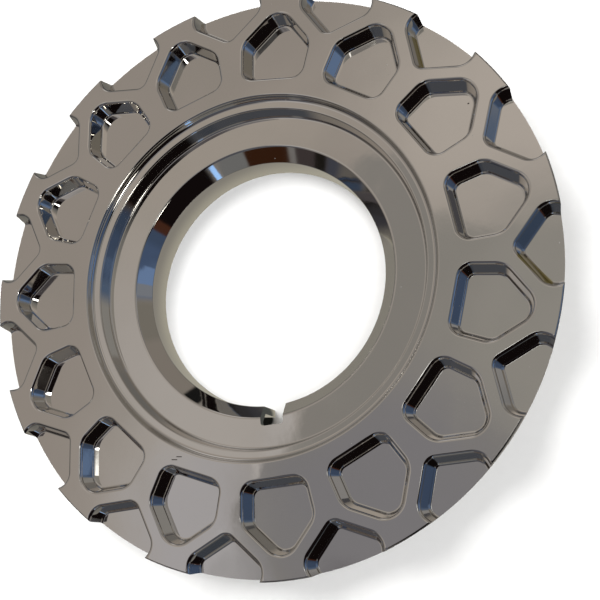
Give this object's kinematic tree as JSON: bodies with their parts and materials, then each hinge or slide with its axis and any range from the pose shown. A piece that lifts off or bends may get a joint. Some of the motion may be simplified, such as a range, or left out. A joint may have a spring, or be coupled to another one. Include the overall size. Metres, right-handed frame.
{
  "type": "wheel center cap",
  "caption": "Open round wheel center cap: a thin plated shell with closed pockets and open rim pockets, stepping down to a collar that is open right through, with one notch.",
  "frame": {"origin": "on the bore axis, in the plane of the collar's end, which the cap rests on when it lies on its back", "axes": "+Z along the bore axis, the way the face looks; +Y through the middle of a closed pocket and of the land outside it"},
  "size_m": [0.2038, 0.203, 0.0225],
  "materials": {
    "chrome_plating": "bright chrome plating on moulded plastic"
  },
  "bodies": {
    "root": {"center_cap": "chrome_plating"}
  },
  "joints": []
}
